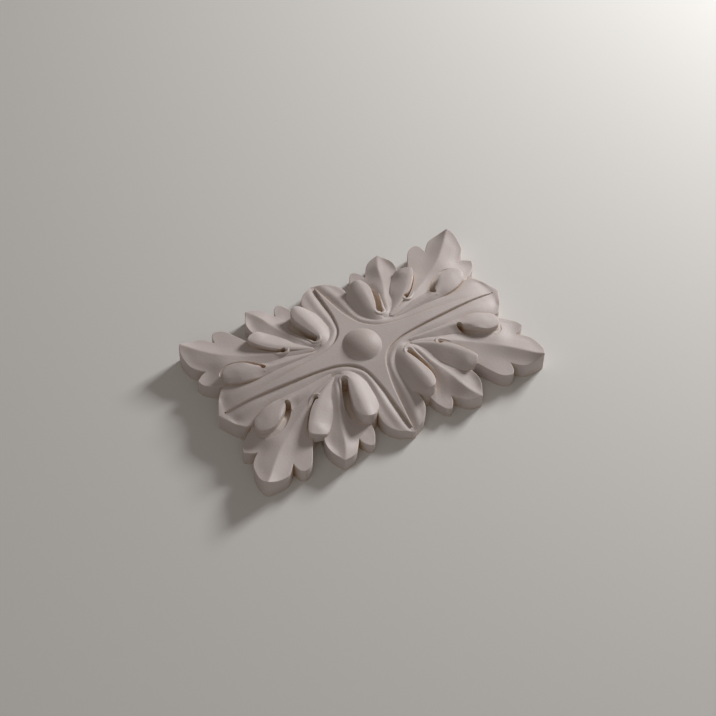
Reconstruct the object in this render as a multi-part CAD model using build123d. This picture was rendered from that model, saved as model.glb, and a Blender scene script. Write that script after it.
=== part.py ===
"""Rectangular acanthus rosette, one cast piece, face up.

It is a flat-backed relief: a domed boss on a four-armed strap, a ribbon band that sweeps
from each Y lobe round to each X lobe, and in each quarter a corner leaf, a middle leaf and
three buds on long stems, with an eye and a deep gap beside each bud. The four quarters
mirror each other. The origin is the centre of the flat back, +Z points out of the face,
and X is the long way. Every height is above the back, in millimetres.
"""
import os

from build123d import *

# Overall reach of the lobes and leaves, from the centre
long_lobe_reach = 103.4
short_lobe_reach = 66.8
corner_tip_x = 100.2
corner_tip_y = 60.2
middle_tip_x = 50.0
middle_tip_y = 66.3

# Heights above the back
centre_height = 21.8
long_tip_height = 13.6
short_tip_height = 8.0
corner_tip_height = 16.2
middle_tip_height = 11.4
short_bud_height = 21.95
middle_bud_height = 20.35
long_bud_height = 21.0

# Boss in the middle
boss_radius = 12.3
boss_rise = 5.2

# Strap: how far its four arms reach, and how far its tips stop short of the lobes' ends
strap_end_gap_x = 6.0
strap_end_gap_y = 3.8

# Eyes and gaps beside the buds
short_eye_x = 23.6
short_eye_y = 19.8
middle_eye_x = 45.1
middle_eye_y = 21.5
long_eye_x = 62.9
long_eye_y = 16.1
eye_radius = 1.9
gap_floor = 12.0

# How closely a skin follows its points, and a height clear of the whole part
skin_tolerance = 0.4
over_top = 40.0


def outline(*stretches):
    """Joins stretches of plan points head to tail into one closed face."""
    edges = []
    for stretch in stretches:
        if len(stretch) == 2:
            edges.append(Line(*stretch).edge())
        else:
            edges.append(Spline(*stretch).edge())
    return Face(Wire(edges))


def upright(face, low, high):
    return extrude(Pos(0, 0, low) * face, amount=high - low, dir=(0, 0, 1))


def under(rows):
    """Everything below a smooth skin through rows of points."""
    points = [[Vector(*point) for point in row] for row in rows]
    skin = Face.make_surface_from_array_of_points(points, tol=skin_tolerance)
    return Solid.extrude(skin, Vector(0, 0, -over_top))


def crossings(stations):
    """Crest point of each station, the level direction to its left, and its flanks."""
    crest = [Vector(x, y, height) for x, y, height, *_ in stations]
    found = []
    for i, (x, y, height, *flanks) in enumerate(stations):
        along = crest[min(i + 1, len(crest) - 1)] - crest[max(i - 1, 0)]
        found.append((crest[i], Vector(-along.Y, along.X, 0).normalized(), *flanks))
    return found


def rolled(stations):
    """Everything under a rounded ridge.

    A station is (x, y, height) of the crest, then the width and drop of its left flank
    and the width and drop of its right flank.
    """
    shape = [(1.4, 1.8), (1.0, 1.0), (0.5, 0.32)]
    rows = []
    for point, left, left_width, left_drop, right_width, right_drop in crossings(stations):
        row = [point + left * left_width * w - Vector(0, 0, left_drop * d) for w, d in shape]
        row.append(point)
        row += [point - left * right_width * w - Vector(0, 0, right_drop * d) for w, d in reversed(shape)]
        rows.append(row)
    return under(rows)


def flank(stations, side):
    """Everything under one hollow flank that runs on past the crest.

    The flank lies on the left for side 1 and on the right for side -1.
    """
    rows = []
    for point, left, *flanks in crossings(stations):
        width, drop, other_width, _ = flanks if side == 1 else flanks[2:] + flanks[:2]
        past = min(1.5 * other_width / width, 2.5)
        row = []
        for step in (1.5, 1.0, 0.5, 0.0, -past / 2, -past):
            fall = drop * (1.45 * step - 0.45 * step ** 2)
            row.append(point + left * side * width * step - Vector(0, 0, fall))
        rows.append(row)
    return under(rows)


def creased(plan, stations):
    """An upright form of the given plan under two flanks that meet in a sharp crest."""
    return upright(plan, 0, over_top) & flank(stations, 1) & flank(stations, -1)


def band():
    """Ribbon beside the strap, from the tip of the Y lobe round to the tip of the X lobe."""
    end_x = long_lobe_reach
    end_y = short_lobe_reach
    plan = outline(
        [(0, end_y), (4.0, end_y - 1.9), (8.2, end_y - 3.9), (11.0, end_y - 6.4), (13.6, end_y - 9.8),
         (15.2, end_y - 13.6), (15.5, end_y - 17.8), (14.9, end_y - 21.8)],
        [(14.9, end_y - 21.8), (15.0, 30.0), (18.0, 22.0), (24.0, 15.4), (32.0, 12.4)],
        [(32.0, 12.4), (end_x - 41.4, 12.2), (end_x - 31.4, 13.2), (end_x - 21.4, 15.4)],
        [(end_x - 21.4, 15.4), (end_x - 15.4, 17.4), (end_x - 8.4, 14.2), (end_x - 5.1, 9.8),
         (end_x - 2.4, 4.8), (end_x, 0)],
        [(end_x, 0), (0, 0)],
        [(0, 0), (0, end_y)],
    )
    ridge = rolled([
        (5.5, end_y + 4.2, short_tip_height - 0.6, 6, 0.5, 5, 0.6),
        (4.5, end_y - 2.6, short_tip_height + 0.7, 8, 0.2, 4, 0.9),
        (5.6, end_y - 8.6, short_tip_height + 2.2, 8, 0.2, 4.6, 1.5),
        (6.6, end_y - 15.8, short_tip_height + 4.2, 8, 0.5, 4.4, 1.6),
        (7.2, end_y - 24.8, short_tip_height + 6.3, 7.4, 0.5, 4.4, 1.6),
        (7.6, 33.0, 16.4, 6.8, 0.7, 3.6, 1.1),
        (8.4, 25.0, 18.2, 6.0, 0.5, 2.8, 0.8),
        (10.6, 18.2, 19.7, 5.5, 0.6, 2.6, 0.7),
        (15.3, 13.0, 20.4, 5.0, 0.6, 2.8, 0.7),
        (22.0, 9.4, 20.6, 2.6, 0.7, 2.8, 0.7),
        (31.0, 7.2, 20.3, 2.6, 0.7, 3.0, 0.6),
        (45.0, 6.4, 20.1, 3.4, 0.5, 3.0, 0.6),
        (end_x - 43.4, 6.6, 19.5, 3.8, 0.5, 3.6, 0.5),
        (end_x - 31.4, 6.7, 18.7, 4.6, 0.5, 4.4, 0.5),
        (end_x - 21.4, 6.6, long_tip_height + 4.0, 7.0, 0.7, 5.0, 0.5),
        (end_x - 13.4, 6.4, long_tip_height + 2.4, 9.0, 0.4, 5.0, 0.3),
        (end_x - 6.9, 5.6, long_tip_height + 0.6, 9.0, -0.7, 5.0, 0.3),
        (end_x + 3.0, 5.4, long_tip_height - 0.2, 9.0, -0.7, 5.0, 0.3),
    ])
    return upright(plan, 0, over_top) & ridge


def strap():
    """Flat four-armed star with hollow sides that narrows to a midrib along each lobe."""
    end_x = long_lobe_reach - strap_end_gap_x
    end_y = short_lobe_reach - strap_end_gap_y
    plan = outline(
        [(end_x, 0.3), (80.0, 1.5), (60.0, 3.0), (45.0, 4.1), (25.0, 6.3), (13.0, 11.3), (6.4, 20.5),
         (3.1, 35.0), (1.2, 55.0), (0.3, end_y)],
        [(0.3, end_y), (0, end_y)],
        [(0, end_y), (0, 0)],
        [(0, 0), (end_x, 0)],
        [(end_x, 0), (end_x, 0.3)],
    )
    along_x = outline(
        [(0, 0), (0, centre_height)],
        [(0, centre_height), (45.0, centre_height - 0.1)],
        [(45.0, centre_height - 0.1), (60.0, 21.0), (72.0, 19.9), (80.0, 18.8),
         (end_x, long_tip_height + 1.0)],
        [(end_x, long_tip_height + 1.0), (end_x, 0)],
        [(end_x, 0), (0, 0)],
    )
    along_y = outline(
        [(0, 0), (0, centre_height)],
        [(0, centre_height), (12.0, 21.2), (20.0, 19.7), (30.0, 17.2), (40.0, 14.4), (50.0, 12.0),
         (end_y, short_tip_height + 1.0)],
        [(end_y, short_tip_height + 1.0), (end_y, 0)],
        [(end_y, 0), (0, 0)],
    )
    side = extrude(Plane.XZ * along_x, amount=end_y, dir=(0, 1, 0))
    front = extrude(Plane.YZ * along_y, amount=end_x, dir=(1, 0, 0))
    return upright(plan, 0, over_top) & side & front


def corner_leaf():
    tip_x = corner_tip_x
    tip_y = corner_tip_y
    plan = outline(
        [(26.0, 11.4), (60.0, 11.4), (84.0, 12.0)],
        [(84.0, 12.0), (tip_x - 9.4, tip_y - 41.3), (tip_x - 2.9, tip_y - 36.8),
         (tip_x + 0.5, tip_y - 33.2), (tip_x + 1.9, tip_y - 29.1)],
        [(tip_x + 1.9, tip_y - 29.1), (tip_x - 5.5, tip_y - 24.8)],
        [(tip_x - 5.5, tip_y - 24.8), (tip_x - 1.2, tip_y - 20.8), (tip_x + 1.6, tip_y - 16.2),
         (tip_x + 2.8, tip_y - 8.7), (tip_x + 2.1, tip_y - 3.2), (tip_x, tip_y)],
        [(tip_x, tip_y), (tip_x - 4.7, tip_y + 0.6), (tip_x - 10.0, tip_y + 0.5),
         (tip_x - 14.4, tip_y - 0.4), (tip_x - 17.8, tip_y - 3.1), (tip_x - 21.1, tip_y - 6.8)],
        [(tip_x - 21.1, tip_y - 6.8), (tip_x - 21.5, tip_y - 3.3), (tip_x - 22.6, tip_y - 0.5),
         (tip_x - 24.7, tip_y + 1.0), (tip_x - 28.2, tip_y + 0.4), (tip_x - 31.7, tip_y - 2.1),
         (tip_x - 34.7, tip_y - 6.8), (60.0, 44.0)],
        [(60.0, 44.0), (26.0, 13.4)],
        [(26.0, 13.4), (26.0, 11.4)],
    )
    stations = [
        (22.0, 10.4, 19.8, 2.2, 0.6, 2.4, 0.6),
        (34.0, 14.7, 19.9, 3.2, 0.9, 3.4, 0.8),
        (46.0, 19.6, 19.1, 4.6, 1.2, 5.4, 0.9),
        (58.0, 25.7, 17.5, 7.1, 1.9, 7.4, 1.0),
        (tip_x - 30.2, tip_y - 27.2, corner_tip_height - 0.7, 12.2, 2.6, 11.3, 0.6),
        (tip_x - 23.2, tip_y - 22.2, corner_tip_height - 1.1, 14.5, 3.0, 13.1, 1.4),
        (tip_x - 16.2, tip_y - 16.7, corner_tip_height - 1.3, 15.6, 3.2, 13.1, 2.7),
        (tip_x - 9.2, tip_y - 9.8, corner_tip_height - 1.2, 14.2, 3.2, 12.4, 2.5),
        (tip_x - 1.6, tip_y - 1.8, corner_tip_height, 11.0, 4.0, 10.0, 2.3),
        (tip_x + 6.0, tip_y + 6.0, corner_tip_height + 1.6, 10.0, 4.3, 9.0, 2.6),
    ]
    return creased(plan, stations)


def middle_leaf():
    tip_x = middle_tip_x
    tip_y = middle_tip_y
    plan = outline(
        [(21.0, 10.0), (34.0, 12.5), (42.0, 22.0), (tip_x, tip_y - 30.3), (tip_x + 4.2, tip_y - 18.8)],
        [(tip_x + 4.2, tip_y - 18.8), (tip_x + 5.0, tip_y - 12.0), (tip_x + 4.2, tip_y - 8.2),
         (tip_x + 2.2, tip_y - 4.1), (tip_x, tip_y)],
        [(tip_x, tip_y), (tip_x - 4.0, tip_y - 0.4), (tip_x - 8.0, tip_y - 1.5), (tip_x - 11.0, tip_y - 3.9),
         (tip_x - 13.5, tip_y - 7.1), (tip_x - 16.4, tip_y - 11.0)],
        [(tip_x - 16.4, tip_y - 11.0), (tip_x - 17.1, tip_y - 7.9), (tip_x - 18.9, tip_y - 4.9),
         (tip_x - 21.5, tip_y - 3.1), (tip_x - 24.0, tip_y - 4.4), (tip_x - 25.8, tip_y - 7.3),
         (tip_x - 27.4, tip_y - 10.7), (21.0, 47.0)],
        [(21.0, 47.0), (21.0, 10.0)],
    )
    stations = [
        (26.5, 8.0, 20.4, 5.6, 2.0, 6.0, 0.6),
        (28.6, 15.6, 20.3, 5.8, 3.0, 7.0, 0.8),
        (30.6, 21.4, 19.3, 6.0, 3.6, 7.6, 0.9),
        (33.7, 29.4, 16.8, 6.3, 3.8, 8.5, 0.9),
        (tip_x - 11.8, tip_y - 27.3, middle_tip_height + 3.4, 9.0, 3.3, 11.5, 0.7),
        (tip_x - 8.1, tip_y - 16.7, middle_tip_height + 2.1, 13.0, 4.2, 9.0, 1.1),
        (tip_x - 3.8, tip_y - 5.8, middle_tip_height + 0.9, 16.0, 3.6, 7.0, 0.6),
        (tip_x + 2.6, tip_y + 5.0, middle_tip_height - 0.8, 16.0, 2.6, 6.0, 0.4),
    ]
    return creased(plan, stations)


def short_bud():
    plan = outline(
        [(22.6, 20.0), (24.9, 27.0), (26.8, 33.0), (28.2, 39.0), (28.1, 43.5), (26.2, 47.6), (21.8, 49.4),
         (17.4, 48.1), (14.6, 45.6)],
        [(14.6, 45.6), (11.5, 42.0), (10.6, 36.0), (10.4, 28.0), (11.0, 21.0), (14.0, 15.0), (18.0, 12.4),
         (23.0, 12.0)],
        [(23.0, 12.0), (24.0, 16.0), (22.6, 20.0)],
    )
    ridge = rolled([
        (22.6, 9.0, short_bud_height - 2.6, 3, 0.5, 3, 0.5),
        (20.8, 15.8, short_bud_height - 0.65, 4.7, 1.3, 4, 0.8),
        (19.9, 20.0, short_bud_height, 6, 2.55, 4.5, 0.9),
        (20.2, 25.0, short_bud_height - 0.05, 7.2, 3.3, 6, 1.0),
        (21.2, 31.0, short_bud_height - 0.45, 8.2, 3.9, 6.5, 1.2),
        (22.0, 37.0, short_bud_height - 1.0, 8.6, 4.15, 7, 1.3),
        (22.6, 42.4, short_bud_height - 1.85, 8.4, 4.1, 6.8, 1.2),
        (22.8, 47.0, short_bud_height - 2.6, 7.6, 3.95, 6, 1.2),
        (23.0, 52.0, short_bud_height - 3.8, 7, 3.9, 6, 1.3),
    ])
    return upright(plan, 0, over_top) & ridge


def middle_bud():
    plan = outline(
        [(28.8, 12.4), (38.6, 17.2), (46.0, 21.8), (52.2, 27.0), (57.0, 33.0), (60.4, 38.2), (61.4, 41.4)],
        [(61.4, 41.4), (58.8, 43.8), (55.0, 45.4), (51.4, 46.0)],
        [(51.4, 46.0), (49.0, 44.6), (44.0, 39.4), (40.0, 33.4), (36.4, 27.4), (32.6, 21.8), (26.6, 14.2)],
        [(26.6, 14.2), (28.8, 12.4)],
    )
    ridge = rolled([
        (23.6, 11.0, middle_bud_height - 0.8, 1.2, 0.4, 1.2, 0.4),
        (28.0, 13.3, middle_bud_height - 0.45, 1.6, 0.5, 1.6, 0.4),
        (32.2, 15.8, middle_bud_height - 0.15, 3.4, 1.2, 2.3, 0.5),
        (36.6, 18.4, middle_bud_height, 5.4, 2.15, 3.0, 0.55),
        (40.8, 21.6, middle_bud_height - 0.05, 7.1, 3.5, 3.7, 0.2),
        (45.0, 25.2, middle_bud_height - 0.4, 8.8, 4.45, 5.4, 0.05),
        (49.4, 29.6, middle_bud_height - 1.0, 10.1, 4.85, 6.8, 0.05),
        (53.2, 34.2, middle_bud_height - 1.65, 10.7, 5.1, 7.1, 0.05),
        (56.6, 38.4, middle_bud_height - 2.25, 10.7, 4.5, 6.5, 0.2),
        (59.4, 42.6, middle_bud_height - 3.25, 10.3, 4.3, 6.0, 0.3),
        (62.4, 46.8, middle_bud_height - 4.55, 10.0, 4.2, 6.0, 0.3),
    ])
    return upright(plan, 0, over_top) & ridge


def long_bud():
    plan = outline(
        [(24.0, 8.2), (40.0, 9.2), (54.0, 10.0), (68.0, 10.1), (80.0, 12.8), (86.4, 16.2)],
        [(86.4, 16.2), (88.3, 19.8), (88.2, 23.4), (86.2, 26.6), (82.4, 28.0), (78.0, 27.6), (73.0, 25.0),
         (68.2, 21.2), (64.4, 17.4)],
        [(64.4, 17.4), (60.4, 22.4)],
        [(60.4, 22.4), (47.0, 17.8), (33.0, 12.8), (24.4, 10.2)],
        [(24.4, 10.2), (24.0, 8.2)],
    )
    ridge = rolled([
        (20.0, 8.6, long_bud_height - 1.4, 0.8, 0.3, 0.8, 0.3),
        (26.4, 9.5, long_bud_height - 1.2, 1.0, 0.4, 1.0, 0.3),
        (33.0, 10.4, long_bud_height - 1.0, 1.9, 0.55, 1.4, 0.45),
        (40.0, 11.3, long_bud_height - 0.9, 3.3, 0.8, 1.7, 0.6),
        (47.0, 12.2, long_bud_height - 0.8, 4.6, 1.2, 2.0, 0.75),
        (54.0, 13.2, long_bud_height - 0.65, 6.0, 2.15, 2.6, 1.05),
        (60.0, 14.6, long_bud_height - 0.5, 6.4, 2.4, 4.0, 1.4),
        (66.0, 16.3, long_bud_height - 0.2, 5.4, 1.2, 5.7, 2.0),
        (72.0, 18.2, long_bud_height, 6.8, 0.8, 7.2, 2.5),
        (78.0, 20.3, long_bud_height - 0.25, 7.5, 1.35, 7.9, 2.85),
        (83.0, 22.2, long_bud_height - 1.5, 6.0, 1.7, 7.8, 2.6),
        (87.6, 23.2, long_bud_height - 3.1, 4.6, 1.5, 7.2, 2.2),
        (92.4, 23.8, long_bud_height - 5.2, 4.2, 1.5, 6.4, 2.2),
    ])
    return upright(plan, 0, over_top) & ridge


def gaps():
    """The deep trenches beside the buds, each with a round eye at its root."""
    short_eye = (short_eye_x, short_eye_y)
    middle_eye = (middle_eye_x, middle_eye_y)
    long_eye = (long_eye_x, long_eye_y)
    short_gap = outline(
        [short_eye, (26.4, 18.8), (28.2, 22.6), (30.4, 28.0), (31.2, 34.0), (31.0, 40.0), (29.4, 45.0)],
        [(29.4, 45.0), (28.1, 43.5), (28.2, 39.0), (26.8, 33.0), (24.9, 27.0), short_eye],
    )
    middle_gap = outline(
        [middle_eye, (48.4, 21.6), (53.2, 25.8), (58.2, 31.8), (61.6, 37.0)],
        [(61.6, 37.0), (60.0, 37.6), (57.0, 33.0), (52.2, 27.0), middle_eye],
    )
    long_gap = outline(
        [long_eye, (66.4, 22.6), (71.6, 26.8), (77.0, 29.6), (82.0, 29.8), (85.4, 28.4)],
        [(85.4, 28.4), (82.4, 28.0), (78.0, 27.6), (73.0, 25.0), (68.2, 21.2), long_eye],
    )
    trenches = [upright(plan, gap_floor, over_top) for plan in (short_gap, middle_gap, long_gap)]
    drilled = [upright(Pos(x, y) * Circle(eye_radius).face(), gap_floor, over_top)
               for x, y in (short_eye, middle_eye, long_eye)]
    return trenches + drilled


def boss():
    ball_radius = (boss_radius ** 2 + boss_rise ** 2) / (2 * boss_rise)
    ball = Pos(0, 0, centre_height + boss_rise - ball_radius) * Sphere(ball_radius)
    post = upright(Circle(boss_radius).face(), 0, over_top)
    return ball & post


def quarter():
    whole = band()
    for form in (strap(), corner_leaf(), middle_leaf(), short_bud(), middle_bud(), long_bud()):
        whole = whole + form
    for cut in gaps():
        whole = whole - cut
    return whole


def rosette():
    first = quarter()
    half = first + mirror(first, about=Plane.YZ)
    whole = half + mirror(half, about=Plane.XZ)
    return whole + boss()


os.makedirs("parts", exist_ok=True)
part = rosette()
export_step(part, "parts/rosette.step")
print("solids", len(part.solids()), "volume", round(part.volume), "box", part.bounding_box())
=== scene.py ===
import math
import bpy
import bmesh
from mathutils import Matrix, Vector
from mathutils.bvhtree import BVHTree
from mathutils.geometry import delaunay_2d_cdt
from mathutils.kdtree import KDTree


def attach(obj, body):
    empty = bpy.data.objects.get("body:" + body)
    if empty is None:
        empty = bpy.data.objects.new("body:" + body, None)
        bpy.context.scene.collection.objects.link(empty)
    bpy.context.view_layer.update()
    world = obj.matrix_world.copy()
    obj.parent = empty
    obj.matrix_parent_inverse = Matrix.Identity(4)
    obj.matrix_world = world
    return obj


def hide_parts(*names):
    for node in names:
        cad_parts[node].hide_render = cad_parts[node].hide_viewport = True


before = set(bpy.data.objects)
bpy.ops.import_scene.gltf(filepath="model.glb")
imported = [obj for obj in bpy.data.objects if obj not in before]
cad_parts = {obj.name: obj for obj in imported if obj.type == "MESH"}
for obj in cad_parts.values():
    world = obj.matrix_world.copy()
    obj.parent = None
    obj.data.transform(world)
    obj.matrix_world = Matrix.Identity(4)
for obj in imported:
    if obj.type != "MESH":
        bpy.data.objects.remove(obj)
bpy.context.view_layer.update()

# The forms are drawn in mm from the middle of the back, and made metres when they are joined.
# Only the first quarter is drawn: the other three mirror it.
mm = 0.001
cutterTop = 60

# How finely the forms are netted, in mm: the spacing of points round a plan and inside it, the rings
# that bend a rim, as shares of its radius, and how much steeper a stem falls away at its root
net = {"round": 0.7, "inside": 0.8, "rings": (0.1, 0.3, 0.6, 1.0, 1.45), "ringClear": 0.94,
       "insideClear": 0.45, "rowStep": 0.866, "steepest": 0.9, "acrossSteps": 6, "alongSteps": 8}


def smoothRun(points, steps):
    # Catmull-Rom curve through the points
    run = []
    last = len(points) - 1
    for i in range(last):
        a = points[max(i - 1, 0)]
        b = points[i]
        c = points[i + 1]
        d = points[min(i + 2, last)]
        for k in range(steps):
            t = k / steps
            run.append(0.5 * ((2 * b) + (c - a) * t + (2 * a - 5 * b + 4 * c - d) * t ** 2
                              + (3 * b - a - 3 * c + d) * t ** 3))
    run.append(points[last].copy())
    return run


def evenRun(points, gap):
    # The same curve, with its points about one gap apart
    fine = smoothRun(points, 24) if len(points) > 2 else list(points)
    total = sum((q - p).length for p, q in zip(fine, fine[1:]))
    count = max(round(total / gap), 1)
    out = [fine[0]]
    walked = 0.0
    for p, q in zip(fine, fine[1:]):
        span = (q - p).length
        while len(out) < count and walked + span >= total * len(out) / count:
            out.append(p.lerp(q, (total * len(out) / count - walked) / span))
        walked += span
    return out  # the last point is left to the next stretch


def anticlockwise(loop):
    area = sum(p.x * q.y - q.x * p.y for p, q in zip(loop, loop[1:] + loop[:1]))
    return loop if area > 0 else loop[::-1]


def planLoop(plan):
    # Each stretch of a plan is a smooth curve, and two stretches meet at a corner
    loop = []
    for stretch in plan:
        loop += evenRun([Vector(p) for p in stretch], net["round"])
    return anticlockwise(loop)


def skinTree(form):
    # Fine grid through the rows of (x, y, height), to look heights up on. A crest column stays a sharp
    # ridge. The rows of a stem fall away from their crest more steeply, so the stems read as ribs.
    stemRows = form.get("stemRows", 0)
    crest = form.get("crest", 0)
    steps = net["acrossSteps"]
    across = []
    for i, row in enumerate(form["skin"]):
        top = max(p[2] for p in row)
        steeper = 1 + net["steepest"] * (1 - i / stemRows) if i < stemRows else 1
        points = [Vector((x, y, top - (top - z) * steeper)) for x, y, z in row]
        if crest:
            across.append(smoothRun(points[:crest + 1], steps)[:-1] + smoothRun(points[crest:], steps))
        else:
            across.append(smoothRun(points, steps))
    columns = [smoothRun([row[j] for row in across], net["alongSteps"]) for j in range(len(across[0]))]
    high = len(columns[0])
    corners = [p for column in columns for p in column]
    faces = [(j * high + i, (j + 1) * high + i, (j + 1) * high + i + 1, j * high + i + 1)
             for j in range(len(columns) - 1) for i in range(high - 1)]
    return BVHTree.FromPolygons(corners, faces)


def heightOn(tree, x, y):
    hit = tree.ray_cast(Vector((x, y, cutterTop)), Vector((0, 0, -1)))[0]
    if hit is None:  # past the edge of the skin
        hit = tree.find_nearest(Vector((x, y, 15)))[0]
    return hit.z


def heightBeside(points, x, y):
    # Height of the nearest place on the line through the points
    best = None
    for a, b in zip(points, points[1:]):
        span = Vector((b[0] - a[0], b[1] - a[1]))
        t = min(max((Vector((x - a[0], y - a[1]))).dot(span) / span.length_squared, 0), 1)
        away = math.hypot(x - a[0] - span.x * t, y - a[1] - span.y * t)
        if best is None or away < best[0]:
            best = (away, a[2] + (b[2] - a[2]) * t)
    return best[1]


def rimDrop(away, radius):
    # How far a rounded rim has fallen at a distance from the edge
    if away >= radius:
        return 0.0
    return radius - math.sqrt(max(radius ** 2 - (radius - away) ** 2, 0))


def netPoints(loop, edge, rim, inside):
    # Points of the net: the plan itself, rings that follow it, and staggered rows inside them
    points = list(loop)
    for step in net["rings"]:
        inset = rim * step
        for i, corner in enumerate(loop):
            tangent = (loop[(i + 1) % len(loop)] - loop[i - 1]).normalized()
            p = corner + Vector((-tangent.y, tangent.x)) * inset
            if edge.find(p.to_3d())[2] > inset * net["ringClear"]:
                points.append(p)
    lowX, highX = min(p.x for p in loop), max(p.x for p in loop)
    y, highY = min(p.y for p in loop), max(p.y for p in loop)
    clear = rim * net["rings"][-1] + inside * net["insideClear"]
    row = 0
    while y < highY:
        x = lowX + (inside / 2 if row % 2 else 0)
        while x < highX:
            if edge.find(Vector((x, y, 0)))[2] > clear:
                points.append(Vector((x, y)))
            x += inside
        y += inside * net["rowStep"]
        row += 1
    return points


def castForm(loop, heightAt, rim, far, inside):
    # Closed form over a plan: a skin with a rounded rim, and straight walls out to the far height
    count = len(loop)
    edge = KDTree(count * 4)
    for i, p in enumerate(loop):
        for k in range(4):
            edge.insert(p.lerp(loop[(i + 1) % count], k / 4).to_3d(), i * 4 + k)
    edge.balance()
    points = netPoints(loop, edge, rim, inside)
    sides = [(i, (i + 1) % count) for i in range(count)]
    flat, _, faces, origins, _, _ = delaunay_2d_cdt(points, sides, [], 1, 1e-4)
    rimAt = {o: i for i, made in enumerate(origins) for o in made if o < count}
    outward = -1 if far == cutterTop else 1
    mesh = bmesh.new()
    skin = []
    for p in flat:
        drop = rimDrop(edge.find(p.to_3d())[2], rim)
        skin.append(mesh.verts.new((p.x, p.y, heightAt(p.x, p.y) - outward * drop)))
    for i in set(rimAt.values()):
        skin[i].co.z = heightAt(flat[i].x, flat[i].y) - outward * rim
    for face in faces:
        mesh.faces.new([skin[i] for i in face])
    ring = [skin[rimAt[i]] for i in range(count)]
    base = [mesh.verts.new((v.co.x, v.co.y, far)) for v in ring]
    for i in range(count):
        j = (i + 1) % count
        mesh.faces.new((ring[j], ring[i], base[i], base[j]))
    mesh.faces.new(base)
    bmesh.ops.recalc_face_normals(mesh, faces=mesh.faces)
    bmesh.ops.delete(mesh, geom=[v for v in mesh.verts if not v.link_faces], context="VERTS")
    return mesh


def makeObject(name, mesh):
    data = bpy.data.meshes.new(name)
    mesh.to_mesh(data)
    mesh.free()
    thing = bpy.data.objects.new(name, data)
    bpy.context.scene.collection.objects.link(thing)
    print("made", name, "with", len(data.polygons), "faces")
    return thing


def skinForm(name, form):
    tree = skinTree(form)
    return makeObject(name, castForm(planLoop(form["plan"]), lambda x, y: heightOn(tree, x, y),
                                     form["rim"], form["bottom"], net["inside"]))


def gapForm(name, gap):
    return makeObject(name, castForm(planLoop(gap["plan"]), lambda x, y: heightBeside(gap["floor"], x, y),
                                     gap["rim"], cutterTop, net["inside"]))


print("drawing the first quarter")
forms = []
cutters = []

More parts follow.
